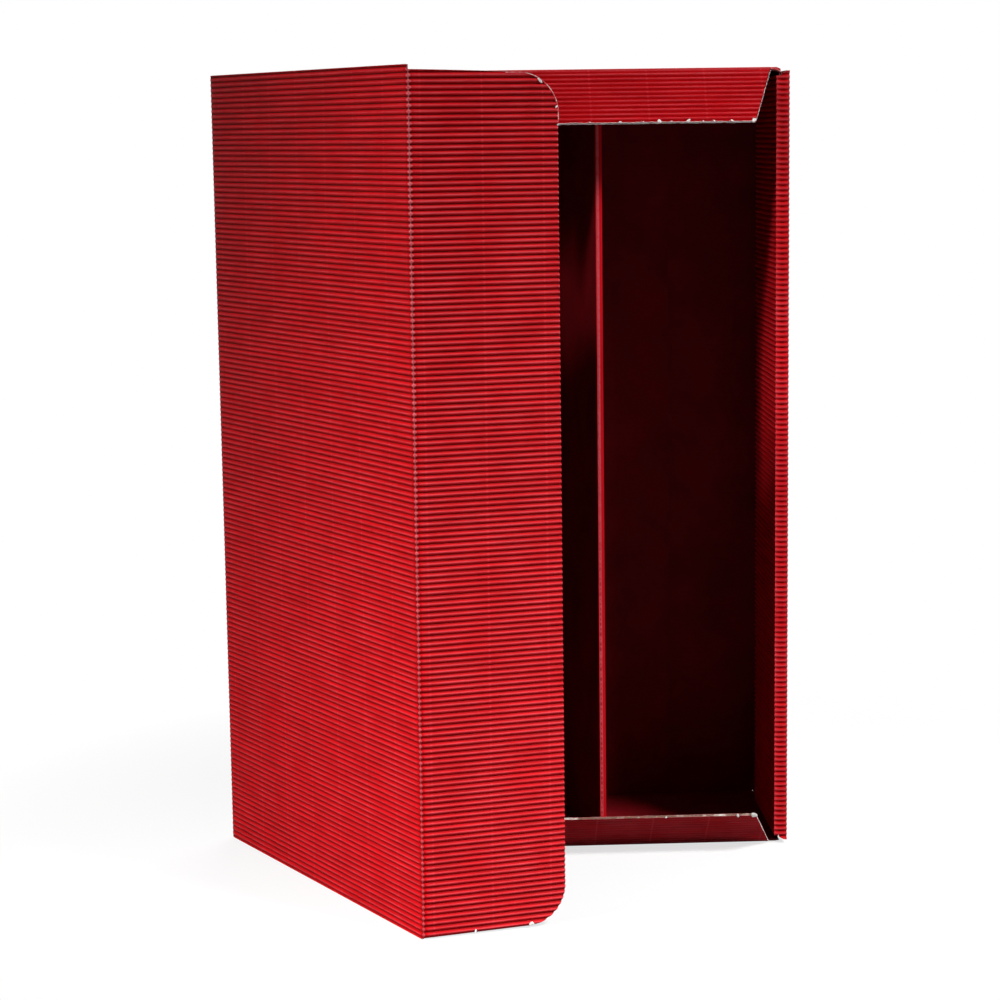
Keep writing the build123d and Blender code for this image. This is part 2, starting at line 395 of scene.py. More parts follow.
def pick(obj, chosen):
    """Go into edit mode with just the chosen points selected."""
    only(obj)
    mesh = obj.data
    mesh.polygons.foreach_set("select", np.zeros(len(mesh.polygons), bool))
    mesh.edges.foreach_set("select", np.zeros(len(mesh.edges), bool))
    mesh.vertices.foreach_set("select", np.broadcast_to(chosen, len(mesh.vertices)).astype(bool))
    bpy.ops.object.mode_set(mode="EDIT")
    bpy.ops.mesh.select_mode(type="VERT")


def leave():
    """Back to object mode."""
    bpy.ops.object.mode_set(mode="OBJECT")


def turn(degrees, axis, centre):
    """Turn what is selected anticlockwise. With no window, Blender turns the other way."""
    bpy.ops.transform.rotate(
        value=-math.radians(degrees), orient_axis=axis, center_override=Vector(centre) * MM
    )


def put(obj, degrees, spot):
    """Turn a finished blank about the origin, seen from above, and move it to its spot."""
    pick(obj, True)
    turn(degrees, "Z", (0, 0, 0))
    bpy.ops.transform.translate(value=Vector(spot) * MM)
    leave()


# %% [markdown]
# ## Open-flute board
#
# Single-face board is made by pressing damp paper between two toothed rollers and gluing the wavy
# sheet to a flat one. The blank grows the same way. One flute is a grid whose rows are lifted into
# a wave, extended column by column, and pressed low in the columns where a crease will run. An
# Array modifier then stacks it up the blank. The liner is a second grid behind it. The sheet lies
# in the XZ plane, with the liner's face at y = 0 and the flutes towards -Y.

# %% One flute
BOARD = 1.3
LINER_BACK, VALLEY, CREST = -0.28, -0.5, -BOARD
WAVE_ROWS = 8
CREST_SHARPNESS = 1.5
HAIR = 0.05  # a hair's breadth in mm, to tell points on a line from those beside it


def lay_tile(columns, rows, level, first, pitch):
    """A grid as long as the first gap between columns and as high as one flute."""
    bpy.ops.object.select_all(action="DESELECT")
    bpy.ops.mesh.primitive_grid_add(
        x_subdivisions=1, y_subdivisions=rows, size=MM, rotation=(math.pi / 2, 0, 0),
        location=Vector(((columns[0][0] + columns[1][0]) / 2, level, first + pitch / 2)) * MM,
    )
    tile = bpy.context.object
    tile.scale = (columns[1][0] - columns[0][0], pitch, 1)
    bpy.ops.object.transform_apply(location=True, rotation=True, scale=True)
    return tile


def wave_tile(columns, first, pitch):
    """One flute: the rows are lifted to a wave, and pressed lower where columns say so."""
    tile = lay_tile(columns, WAVE_ROWS, VALLEY, first, pitch)
    for row in range(1, WAVE_ROWS):
        pick(tile, abs(spots(tile)[:, 2] - first - pitch * row / WAVE_ROWS) < HAIR)
        lift = (CREST - VALLEY) * math.sin(math.pi * row / WAVE_ROWS) ** CREST_SHARPNESS
        bpy.ops.transform.translate(value=(0, lift * MM, 0))
        leave()
    for x, height in columns[:2]:
        pick(tile, abs(spots(tile)[:, 0] - x) < HAIR)
        bpy.ops.transform.resize(value=(1, height, 1), center_override=(0, VALLEY * MM, 0))
        leave()
    return tile


def extend(tile, columns):
    """Pull the last column of a tile on to each further one."""
    pick(tile, abs(spots(tile)[:, 0] - columns[1][0]) < HAIR)
    for (x, height), (next_x, next_height) in zip(columns[1:], columns[2:]):
        bpy.ops.mesh.extrude_region_move(
            TRANSFORM_OT_translate={"value": ((next_x - x) * MM, 0, 0)}
        )
        bpy.ops.transform.resize(
            value=(1, next_height / height, 1), center_override=(0, VALLEY * MM, 0)
        )
    leave()


print("board", BOARD, "mm thick, a flute each", FLUTE, "mm")

# %% [markdown]
# Folding moves the points, but the materials still have to know where on the flat blank they were,
# how high on a flute, and how far from a crease. So each blank keeps these as numbers of its own,
# one for each point.

# %% Cutting a blank, and its memory of being flat
NO_CREASE, NO_NOSE = 9.0, -99.0  # far enough away that no wear shows


def trim(blank, point, normal, where=True):
    """Cut the chosen part of a blank along a line and drop what lies beyond it."""
    pick(blank, where)
    bpy.ops.mesh.bisect(
        plane_co=Vector(point) * MM, plane_no=Vector(normal).normalized(), clear_outer=True,
        threshold=1e-7,
    )
    leave()


def flip_shell(blank, slot):
    """Turn the faces of one paper round."""
    only(blank)
    blank.data.vertices.foreach_set("select", np.zeros(len(blank.data.vertices), bool))
    blank.data.edges.foreach_set("select", np.zeros(len(blank.data.edges), bool))
    for polygon in blank.data.polygons:
        polygon.select = polygon.material_index == slot
    bpy.ops.object.mode_set(mode="EDIT")
    bpy.ops.mesh.select_mode(type="FACE")
    bpy.ops.mesh.flip_normals()
    leave()


def keep(blank, name, values):
    """Store one number for each point of a blank."""
    kept = blank.data.attributes
    attribute = kept.get(name) or kept.new(name, "FLOAT", "POINT")
    attribute.data.foreach_set("value", values.astype(np.float32))


def height_on_flute(blank):
    """How high on its flute each point is: 0 in a valley and 1 on a crest."""
    return np.clip((spots(blank)[:, 1] - VALLEY) / (CREST - VALLEY), 0, 1)


def lessen_painted_valley_shade(blank, rise, least):
    """Keep a rise that starts higher, so that the material paints less shade into the valleys."""
    keep(blank, "rise", least + (1 - least) * rise)


def remember_flat(blank, creases, web, nose):
    """Store where each point is on the flat blank, for folding and for the materials."""
    places = spots(blank)
    kept = {"along": places[:, 0], "up": places[:, 2], "web": places[:, 0] + web}
    kept["near_nose"] = abs(places[:, 0] - nose)
    kept["rise"] = height_on_flute(blank)
    kept["near_crease"] = np.min(
        [np.full(len(places), NO_CREASE)] + [abs(kept[name] - at) for name, at in creases], axis=0
    )
    for name, values in kept.items():
        keep(blank, name, values)


print("no wear beyond", NO_CREASE, "mm from a crease")

# %% A flat blank
def lay_blank(name, columns, low, high, first, pitch=FLUTE, creases=(), web=0.0, nose=NO_NOSE):
    """A flat blank of board, from columns of (x, height of the flutes there, 0 to 1).

    Web shifts the pale finger lines, and nose is where the liner is bent outwards.
    """
    flutes = wave_tile(columns, first, pitch)
    extend(flutes, columns)
    liner = lay_tile(columns, 2, LINER_BACK, first, pitch)
    extend(liner, [(x, 1.0) for x, _ in columns])
    for part, slot in ((flutes, 0), (liner, 1)):
        for material in (flute_paper, liner_paper, cut_edge):
            part.data.materials.append(material)
        part.data.polygons.foreach_set("material_index", [slot] * len(part.data.polygons))
    only(flutes)
    liner.select_set(True)
    bpy.ops.object.join()
    blank = bpy.context.object
    blank.name = blank.data.name = name
    stack = blank.modifiers.new("stack of flutes", "ARRAY")
    stack.use_relative_offset = False
    stack.use_constant_offset = True
    stack.constant_offset_displace = (0, 0, pitch * MM)
    stack.count = math.ceil((high - first) / pitch)
    stack.use_merge_vertices = True
    stack.merge_threshold = 1e-6
    bpy.ops.object.modifier_apply(modifier=stack.name)
    trim(blank, (0, 0, low), (0, 0, -1))
    trim(blank, (0, 0, high), (0, 0, 1))
    pick(blank, True)
    bpy.ops.mesh.normals_make_consistent(inside=False)
    leave()
    for shell in (0, 1):
        faces = [p for p in blank.data.polygons if p.material_index == shell]
        if sum(p.normal.y * p.area for p in faces) > 0:
            flip_shell(blank, shell)
    remember_flat(blank, creases, web, nose)
    return blank


# %% [markdown]
# ## Folding, and the paper's own thickness
#
# A crease is folded as on the real blank: everything beyond it turns about it. The points on the
# crease itself turn by half, so that both panels meet in a mitre. Creases are folded from the far
# end of the blank back to the near one, because then each crease still lies where the flat blank
# had it. Last, Solidify gives the paper its thickness, with a pale rim where it is cut, and the
# flutes stay hollow.

# %% Fold and finish
PAPER = 0.22


def fold(blank, at, degrees, axis="Z"):
    """Fold a blank at a crease across its flutes (axis Z) or along them (axis X)."""
    name, centre = ("along", (at, 0, 0)) if axis == "Z" else ("up", (0, 0, at))
    for limit in (at - HAIR, at + HAIR):
        pick(blank, flat_place(blank, name) > limit)
        turn(degrees / 2, axis, centre)
        leave()


def give_thickness(blank):
    """Make both papers solid, behind the face that was modelled."""
    only(blank)
    wall = blank.modifiers.new("paper", "SOLIDIFY")
    wall.thickness = PAPER * MM
    wall.offset = -1
    wall.material_offset_rim = 2
    bpy.ops.object.modifier_apply(modifier=wall.name)
    bpy.ops.object.shade_smooth_by_angle(angle=math.radians(50))
    triangles = sum(len(p.vertices) - 2 for p in blank.data.polygons)
    print(blank.name, "triangles", triangles)


# %% [markdown]
# ## Back, doubled right wall and rim
#
# One strip of the sheet goes round the tray: from the inner panel's free edge forward, across the
# narrow rim, back along the outer wall and over the whole back. Its first crease turns it left,
# and so do all the others. At the back crease the flutes are pressed flat. At the two creases of
# the rim they are crushed sideways instead: their valleys close, and the corner stays sharp and
# full. The ends of the inner panel and of the rim are cut a little shorter, the rim's at a slant.

# %% The strip round the tray
BOX_HEIGHT, WALL_LOW, WALL_HIGH = 370.0, 1.7, 368.3
INNER_PANEL, RIM, OUTER_WALL, BACK_PANEL = 63.7, 3.9, 90.4, 196.05
PRESSED, CREASE_MARGIN = 0.33, 1.3
CRUSHED, CRUSHED_OUT = 0.3, 0.35
RIM_SLANT = 2.3
FREE_EDGE, FIRST_COLUMNS = -0.6, [(0, 1.0), (2.5, 1.0)]
STRIP_SHADE, STRIP_START = 0.15, (93.55, 18.5, 0)
rim_crease = INNER_PANEL
front_crease = rim_crease + RIM
back_crease = front_crease + OUTER_WALL


def creased(creases, end, press=PRESSED, start=0.0):
    """Columns for a blank with creases: full height, pressed at each crease, full again."""
    columns = [(start, 1.0)]
    for at in creases:
        columns += [(at - CREASE_MARGIN, 1.0), (at, press), (at + CREASE_MARGIN, 1.0)]
    return columns + [(end, 1.0)]


rim_columns = creased([rim_crease, front_crease], back_crease, press=1.0)
back_columns = creased([back_crease], back_crease + BACK_PANEL)
tray_strip = lay_blank(
    "tray_strip", FIRST_COLUMNS + rim_columns[1:-1] + back_columns[1:], WALL_LOW, WALL_HIGH,
    first=FIRST_VALLEY, creases=[("along", FREE_EDGE), ("along", back_crease)],
)
for crease in (rim_crease, front_crease):
    on_crease = abs(flat_place(tray_strip, "along") - crease) < HAIR
    pick(tray_strip, on_crease & (spots(tray_strip)[:, 1] < VALLEY + HAIR))
    bpy.ops.transform.resize(value=(1, CRUSHED, 1), center_override=(0, CREST * MM, 0))
    bpy.ops.transform.translate(value=(0, -CRUSHED_OUT * MM, 0))
    leave()
# The tray strip's valleys get a little less painted shade than the lid's.
lessen_painted_valley_shade(tray_strip, height_on_flute(tray_strip), STRIP_SHADE)
for height, side in ((WALL_HIGH - RIM_SLANT, 1), (WALL_LOW + RIM_SLANT, -1)):
    inner_panel = flat_place(tray_strip, "along") < rim_crease + HAIR
    trim(tray_strip, (0, 0, height), (0, 0, side), inner_panel)
    along = flat_place(tray_strip, "along")
    rim = (along > rim_crease - HAIR) & (along < front_crease + HAIR)
    trim(tray_strip, (rim_crease, 0, height), (-RIM_SLANT, 0, RIM * side), rim)
for crease in (back_crease, front_crease, rim_crease):
    fold(tray_strip, crease, 90)
put(tray_strip, -90, STRIP_START)
give_thickness(tray_strip)
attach(tray_strip, "tray")
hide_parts("tray")

# %% [markdown]
# ## End walls with their dust flaps
#
# Each end wall is folded forward from the back. Its flutes run across the box, so its front fold
# lies along a flute, which is crushed there. Beyond it stands the dust flap, whose ends are cut at
# a slant. A tab at the right end is folded into the doubled wall. Its valleys get less painted
# shade than elsewhere, the bottom wall least. The top wall is the same piece mirrored, with its
# flap at its own angle, and its front right corner is bent down a little, in two steps.

# %% One end wall
END_LEFT, END_FOLD, END_DEPTH, END_LOW = -96.95, 94.85, 89.1, -0.4
FLAP, TAB = 29.0, 25.0
TOP_LEAN, BOTTOM_LEAN = 34, 48
FLAP_LEFT, FLAP_RIGHT, FLAP_SLANT = -90.55, 89.75, 9.0
TAB_FROM, TAB_TO, TAB_SLANT = 1.2, 84.2, 8.0
FLAT_RUN = 89.9
END_PITCH = END_DEPTH / 36.5
FOLD_CRUSH, CRUSHED_REACH = 0.35, END_PITCH * 0.45


def end_wall(name, lean, less_valley_shade):
    """The bottom end wall, its dust flap and its tab, folded."""
    columns = creased([END_FOLD], END_FOLD + TAB, start=END_LEFT)
    wall = lay_blank(
        name, columns[:1] + [(FLAT_RUN, 1.0)] + columns[1:], END_LOW, END_DEPTH + FLAP,
        first=-END_PITCH, pitch=END_PITCH, creases=[("along", END_FOLD)], web=-5.5,
    )
    crushed = abs(flat_place(wall, "up") - END_DEPTH) < CRUSHED_REACH
    pick(wall, crushed & (flat_place(wall, "rise") > 0.01))
    bpy.ops.transform.resize(value=(1, FOLD_CRUSH, 1), center_override=(0, VALLEY * MM, 0))
    leave()
    for x, side in ((FLAP_LEFT, -1), (FLAP_RIGHT, 1)):
        flap = flat_place(wall, "up") > END_DEPTH - HAIR
        trim(wall, (x, 0, END_DEPTH), (FLAP * side, 0, FLAP_SLANT), flap)
    for root, side in ((TAB_FROM, -1), (TAB_TO, 1)):
        tab = flat_place(wall, "along") > END_FOLD + HAIR
        trim(wall, (END_FOLD, 0, root), (TAB_SLANT, 0, TAB * side), tab)
    fold(wall, END_FOLD, 90)
    fold(wall, END_DEPTH, -(90 - lean), "X")
    fold(wall, 0, -90, "X")
    # The valleys of this wall get less painted shade.
    lessen_painted_valley_shade(wall, flat_place(wall, "rise"), less_valley_shade)
    return wall


print("an end wall has", round(END_DEPTH / END_PITCH, 1), "flutes from back to front")

# %% Both end walls
BACK_INSIDE = 45.2
CORNER_FROM, CORNER_TO = 84.3, END_DEPTH + 0.6
CORNER_DROPS = ((93.0, 0.9), (94.5, 0.7))  # beyond so far right, down so much

# Both walls' valleys get less painted shade than the tray's, the bottom wall's least.
bottom_wall = end_wall("bottom_end_wall", BOTTOM_LEAN, less_valley_shade=0.82)
top_wall = end_wall("top_end_wall", TOP_LEAN, less_valley_shade=0.3)
for wall in (bottom_wall, top_wall):
    pick(wall, True)
    turn(180, "X", (0, 0, 0))
    bpy.ops.transform.translate(value=Vector((0, BACK_INSIDE, BOARD)) * MM)
    leave()
pick(top_wall, True)
bpy.ops.transform.resize(value=(1, 1, -1), center_override=(0, 0, BOX_HEIGHT / 2 * MM))
bpy.ops.mesh.flip_normals()
leave()
for beyond, drop in CORNER_DROPS:
    along, up = flat_place(top_wall, "along"), flat_place(top_wall, "up")
    pick(top_wall, (along > beyond) & (up > CORNER_FROM) & (up < CORNER_TO))
    bpy.ops.transform.translate(value=(0, 0, -drop * MM))
    leave()
for wall in (bottom_wall, top_wall):
    give_thickness(wall)
    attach(wall, "tray")
    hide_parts("tray")

# %% [markdown]
# ## The lid's three panels
#
# The left wall, the front cover and the tuck flap are flat panels. Each is laid up flat, cut, and
# put at its crease with the angle that the open lid has in the photograph. The flutes are crushed
# beside the creases. The tuck flap's free corners are rounded by a fan of straight cuts. Its crests
# count as a little higher, so it gets more of the pale pink crest colour, partly rubbed by the
# hands that hold it and partly a painted highlight, and less painted shade in its valleys.

# %% Where the lid's panels go
LID_LOW, LID_HIGH, LID_FIRST = 0.3, 369.7, -1.354
WALL_DEPTH, COVER_WIDTH, TUCK_LENGTH = 93.0, 190.2, 65.0
WALL_WAY, COVER_WAY, TUCK_WAY = -141.0, -61.0, 16.0
CREASE_HALF = 1.45


def way(degrees):
    """A step of one millimetre in plan, anticlockwise from +X."""
    return Vector((math.cos(math.radians(degrees)), math.sin(math.radians(degrees)), 0))


wall_crease = Vector((-98.75, 46.5, 0))
cover_crease = wall_crease + way(WALL_WAY) * WALL_DEPTH
tuck_crease = cover_crease + way(COVER_WAY) * COVER_WIDTH


def lid_spot(crease, degrees):
    """Where a panel's liner starts: the crease line is on the outside of the board."""
    return crease + way(degrees + 90) * BOARD


def lid_columns(length, pressed_end=True):
    """A panel's columns, crushed at one or both ends, beside the crease strips."""
    beside = [(CREASE_HALF, 0.6), (2.2, 0.9), (3.4, 1.0)]
    if pressed_end:
        return beside + [(length - x, height) for x, height in reversed(beside)]
    return beside + [(length - beside[-1][0], 1.0), (length, 1.0)]


print("lid creases in plan", [[round(v, 1) for v in c[:2]] for c in (cover_crease, tuck_crease)])

# %% Left wall and front cover
left_panel = lay_blank(
    "left_wall_panel", lid_columns(WALL_DEPTH), LID_LOW, LID_HIGH, LID_FIRST,
    creases=[("along", 0), ("along", WALL_DEPTH)],
)
put(left_panel, WALL_WAY, lid_spot(wall_crease, WALL_WAY))
give_thickness(left_panel)
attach(left_panel, "left_wall")
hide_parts("left_wall")

cover_panel = lay_blank(
    "front_cover_panel", lid_columns(COVER_WIDTH), LID_LOW, LID_HIGH, LID_FIRST,
    creases=[("along", 0), ("along", COVER_WIDTH)], web=17.4,
)
put(cover_panel, COVER_WAY, lid_spot(cover_crease, COVER_WAY))
give_thickness(cover_panel)
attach(cover_panel, "front_cover")
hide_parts("front_cover")

# %% Tuck flap
TUCK_CORNER, CORNER_STEP = 17.0, 6
TUCK_LOW, TUCK_HIGH = LID_LOW + 0.6, LID_HIGH - 2
TOP_TAPER, BOTTOM_TAPER = 1.7, 0.2
EDGE_WEAR, TUCK_RUB_AND_HIGHLIGHT = 1.3, 1.12

tuck_panel = lay_blank(
    "tuck_flap_panel", lid_columns(TUCK_LENGTH, False), TUCK_LOW, TUCK_HIGH, LID_FIRST,
    creases=[("along", 0), ("along", TUCK_LENGTH + EDGE_WEAR)], web=-5.2,
)
for side, edge, taper in ((1, TUCK_HIGH, TOP_TAPER), (-1, TUCK_LOW, BOTTOM_TAPER)):
    trim(tuck_panel, (0, 0, edge), (taper, 0, side * TUCK_LENGTH))
    centre = Vector((TUCK_LENGTH - TUCK_CORNER, 0, edge - side * (taper + TUCK_CORNER)))
    for degrees in range(CORNER_STEP, 90, CORNER_STEP):
        slant = math.radians(degrees)
        outward = Vector((math.cos(slant), 0, side * math.sin(slant)))
        trim(tuck_panel, centre + outward * TUCK_CORNER, outward)
# The tuck's crests count higher: more pale pink, partly rubbed and partly a painted highlight, and less
# painted shade in its valleys.
keep(tuck_panel, "rise", TUCK_RUB_AND_HIGHLIGHT * flat_place(tuck_panel, "rise"))
put(tuck_panel, TUCK_WAY, lid_spot(tuck_crease, TUCK_WAY))
give_thickness(tuck_panel)
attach(tuck_panel, "tuck_flap")
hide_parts("tuck_flap")

# %% [markdown]
# ## The divider
#
# The divider is a strip folded four times: a flange on the back panel, the right side of a thin
# fin, its narrow nose, the left side, and the other flange. Its smooth liner faces the two spaces
# beside it, so the flutes are hidden behind it and inside the fin. The fold angles come from the
# corners of its plan, which are read from right to left.

# %% Plan of the divider
DIVIDER_LOW, DIVIDER_HIGH, DIVIDER_FIRST = 1.5, 367.7, 0.2
divider_plan = [
    (51.5, 43.7), (7.0, 43.7), (11.7, -41.5), (8.7, -41.5), (-6.0, 43.7), (-50.5, 43.7),
]
legs = [Vector(b) - Vector(a) for a, b in zip(divider_plan, divider_plan[1:])]
headings = [math.degrees(math.atan2(leg.y, leg.x)) % 360 for leg in legs]
foot_right, nose_right, nose_left, foot_left, divider_end = np.cumsum([leg.length for leg in legs])
divider_creases = (foot_right, nose_right, nose_left, foot_left)
print("divider, flat", round(divider_end, 1), "mm long")

# %% Divider insert
FOOT_PRESS, NOSE_PRESS = 0.5, 0.15
FOOT_MARGIN, NOSE_MARGIN, BAND_IN = 1.4, 1.6, 0.9
nose_band = nose_left - BAND_IN
divider_columns = [
    (0, 1.0),
    (foot_right - FOOT_MARGIN, 1.0), (foot_right, FOOT_PRESS), (foot_right + FOOT_MARGIN, 1.0),
    (nose_right - NOSE_MARGIN, 1.0), (nose_right, NOSE_PRESS), (nose_band, NOSE_PRESS),
    (nose_left, NOSE_PRESS), (nose_left + NOSE_MARGIN, 1.0),
    (foot_left - FOOT_MARGIN, 1.0), (foot_left, FOOT_PRESS), (foot_left + FOOT_MARGIN, 1.0),
    (divider_end, 1.0),
]
divider = lay_blank(
    "divider", divider_columns, DIVIDER_LOW, DIVIDER_HIGH, DIVIDER_FIRST, nose=nose_band
)
for crease, before, after in reversed(list(zip(divider_creases, headings, headings[1:]))):
    fold(divider, crease, (after - before + 180) % 360 - 180)
put(divider, 180, (*divider_plan[0], 0))
give_thickness(divider)
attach(divider, "tray")
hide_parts("divider_insert")

# %% [markdown]
# ## Creases of the lid
#
# At a hinge the sheet runs on from one panel to the next, with its flutes crushed. A narrow strip
# of the same board bridges each hinge. It is folded about the crease line, which lies on the
# outside of the board, and it bends with the joint, so that no gap opens when the lid swings.

# %% Crease strips
HINGE_PRESS, BEND_HALF = 0.25, 0.2


def crease_strip(name, crease, before, after, bodies, low, high):
    """A strip of crushed board that bends between two panels with these headings in plan."""
    columns = [(-CREASE_HALF, 0.6), (0, HINGE_PRESS), (CREASE_HALF, 0.6)]
    strip = lay_blank(name, columns, low, high, LID_FIRST, creases=[("along", 0)])
    line = (0, CREST, 0)
    for limit in (-HAIR, HAIR):
        pick(strip, flat_place(strip, "along") > limit)
        turn((after - before) / 2, "Z", line)
        leave()
    put(strip, before, lid_spot(crease, before))
    give_thickness(strip)
    across = (way(before) + way(after)).normalized() * BEND_HALF
    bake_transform(strip, *bodies, start=(crease - across) * MM, end=(crease + across) * MM)


crease_strip(
    "back_crease", wall_crease, -180, WALL_WAY, ("tray", "left_wall"), WALL_LOW, WALL_HIGH
)
crease_strip(
    "cover_crease", cover_crease, WALL_WAY, COVER_WAY, ("left_wall", "front_cover"),
    LID_LOW, LID_HIGH,
)
crease_strip(
    "tuck_crease", tuck_crease, COVER_WAY, TUCK_WAY, ("front_cover", "tuck_flap"),
    TUCK_LOW, TUCK_HIGH,
)

# %% [markdown]
# ## Torn edges and nicks
#
# The free edges of the dust flaps are cut along a flute, and there the paper is torn and pale. A
# ragged strip is a long grid whose points are shaken, laid on the edge of the board.

# %% One ragged strip
TEAR_STEP, TEAR_THICKNESS = 0.8, 0.12


def lay_on(obj, spot, run, across):
    """Put a piece modelled in the XY plane on a spot, with its X along run and Y along across."""
    facing = run.cross(across).normalized()
    obj.matrix_world = Matrix.Translation(spot * MM) @ Matrix(
        (run, across, facing)
    ).transposed().to_4x4()
    only(obj)
    bpy.ops.object.transform_apply(location=True, rotation=True, scale=True)


def torn_strip(name, start, end, across, seed, shake=0.2, material=white_paper):
    """A ragged strip along an edge, from start to end and as wide as across."""
    bpy.ops.object.select_all(action="DESELECT")
    steps = round((end - start).length / TEAR_STEP)
    bpy.ops.mesh.primitive_grid_add(x_subdivisions=steps, y_subdivisions=2, size=MM)
    strip = bpy.context.object
    strip.name = strip.data.name = name
    lay_on(strip, (start + end) / 2, end - start, across)
    pick(strip, True)
    bpy.ops.transform.vertex_random(offset=shake * MM, seed=seed)
    leave()
    wall = strip.modifiers.new("paper", "SOLIDIFY")
    wall.thickness = TEAR_THICKNESS * MM
    bpy.ops.object.modifier_apply(modifier=wall.name)
    strip.data.materials.append(material)
    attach(strip, "tray")
    print(name, steps, "steps long")


# %% Torn edges of the dust flaps
TORN_LEFT, TORN_RIGHT = -81.2, 80.4
EDGE_OUT, END_WIDTH, END_FROM = 0.06, 0.5, 1.0


def flap_edge(lean, upright):
    """Where a dust flap's fold line is, the way to its free edge, and the way outwards."""
    height = BOX_HEIGHT - BOARD if upright > 0 else BOARD
    slope = math.radians(lean)
    down = Vector((0, -math.sin(slope), -upright * math.cos(slope)))
    outward = Vector((0, -math.cos(slope), upright * math.sin(slope)))
    return Vector((0, BACK_INSIDE - END_DEPTH, height)), down, outward


for name, lean, upright, seed, core, wide in (
    ("top", TOP_LEAN, 1, 3, white_paper, 1.0), ("bottom", BOTTOM_LEAN, -1, 8, torn_paper, 0.7),
):
    fold_line, down, outward = flap_edge(lean, upright)
    middle_of_edge = fold_line + down * (FLAP + EDGE_OUT) + outward * (BOARD / 2)
    torn_strip(
        name + "_flap_torn_edge", middle_of_edge + Vector((TORN_LEFT, 0, 0)),
        middle_of_edge + Vector((TORN_RIGHT, 0, 0)), outward * (BOARD * wide * upright), seed,
        material=core,
    )
    in_board = outward * (BOARD * 0.75)
    for side, folded, slant in (
        ("left", FLAP_LEFT, FLAP_SLANT), ("right", FLAP_RIGHT, -FLAP_SLANT),
    ):
        upper = fold_line + Vector((folded, 0, 0)) + down * END_FROM + in_board
        lower = fold_line + Vector((folded + slant, 0, 0)) + down * FLAP + in_board
        torn_strip(
            f"{name}_flap_{side}_end", upper, lower, outward * END_WIDTH, seed + 1, shake=0.1
        )

# %% [markdown]
# The tuck flap's upper corner is bumped, and the paper along it is frayed to a pale fringe. A
# narrow strip is spun round the corner's centre and drawn on down the free edge, and its points
# are shaken.

# %% Frayed corner of the tuck flap
JUST_PROUD = 0.03
FRAY_WIDE, FRAY_LEFT, FRAY_DOWN, FRAY_HIGH = 0.25, 6, 5, TUCK_HIGH - 1.5
FRAY_TURN, FRAY_STEPS = 84, 28
FRAY_SHAKE, FRAY_THICKNESS = 0.07, 0.1
corner = Vector((TUCK_LENGTH - TUCK_CORNER, CREST, TUCK_HIGH - TOP_TAPER - TUCK_CORNER))

bpy.ops.object.select_all(action="DESELECT")
bpy.ops.mesh.primitive_plane_add(
    size=MM, rotation=(math.pi / 2, 0, 0),
    location=Vector((corner.x - FRAY_LEFT / 2, CREST - JUST_PROUD, FRAY_HIGH)) * MM,
)
frayed = bpy.context.object
frayed.name = frayed.data.name = "tuck_flap_frayed_corner"
frayed.scale = (FRAY_LEFT, FRAY_WIDE, 1)
bpy.ops.object.transform_apply(location=True, rotation=True, scale=True)
pick(frayed, spots(frayed)[:, 0] > corner.x - HAIR)
bpy.ops.mesh.spin(
    steps=FRAY_STEPS, angle=-math.radians(FRAY_TURN), axis=(0, 1, 0), dupli=False,
    center=corner * MM,
)
bpy.ops.mesh.extrude_region_move(TRANSFORM_OT_translate={"value": (0, 0, -FRAY_DOWN * MM)})
leave()
pick(frayed, True)
bpy.ops.transform.vertex_random(offset=FRAY_SHAKE * MM, seed=12)
leave()
put(frayed, TUCK_WAY, lid_spot(tuck_crease, TUCK_WAY))
wall = frayed.modifiers.new("paper", "SOLIDIFY")
wall.thickness = FRAY_THICKNESS * MM
bpy.ops.object.modifier_apply(modifier=wall.name)
frayed.data.materials.append(frayed_paper)
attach(frayed, "tuck_flap")
print("frayed corner", spots(frayed).min(axis=0).round(1), spots(frayed).max(axis=0).round(1))

# %% [markdown]
# Nicks are little curled flakes of torn paper. One is modelled from a disc a millimetre across:
# its middle is raised to a dome, one side is curled up, and its points are shaken. Each copy is
# spun and sized to its place.

# %% One flake
FLAKE_RADIUS, DOME, CURL, FLAKE_SHAKE = 0.5, 0.22, (0.12, 0, 0.2), 0.08

bpy.ops.object.select_all(action="DESELECT")
bpy.ops.mesh.primitive_circle_add(vertices=9, radius=FLAKE_RADIUS * MM, fill_type="TRIFAN")
flake = bpy.context.object
pick(flake, np.linalg.norm(spots(flake), axis=1) < HAIR)
bpy.ops.transform.translate(value=(0, 0, DOME * MM))
leave()
pick(flake, spots(flake)[:, 0] > 0.3)
bpy.ops.transform.translate(value=Vector(CURL) * MM)
leave()
pick(flake, True)
bpy.ops.transform.vertex_random(offset=FLAKE_SHAKE * MM, seed=5)
leave()
flake.data.materials.append(white_paper)


def nick(name, body, spot, outward, size, spin, slim=0.8):
    """A copy of the flake, sized and spun, lying on a surface that faces outward."""
    copy = flake.copy()
    copy.data = flake.data.copy()
    copy.name = copy.data.name = name
    bpy.context.scene.collection.objects.link(copy)
    outward = Vector(outward).normalized()
    run = outward.cross(Vector((0.31, 0.2, 0.93))).normalized()
    run.rotate(Matrix.Rotation(math.radians(spin), 3, outward))
    lay_on(copy, Vector(spot), run * size, outward.cross(run) * size * slim)
    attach(copy, body)


print("flake", spots(flake).min(axis=0).round(2), spots(flake).max(axis=0).round(2))

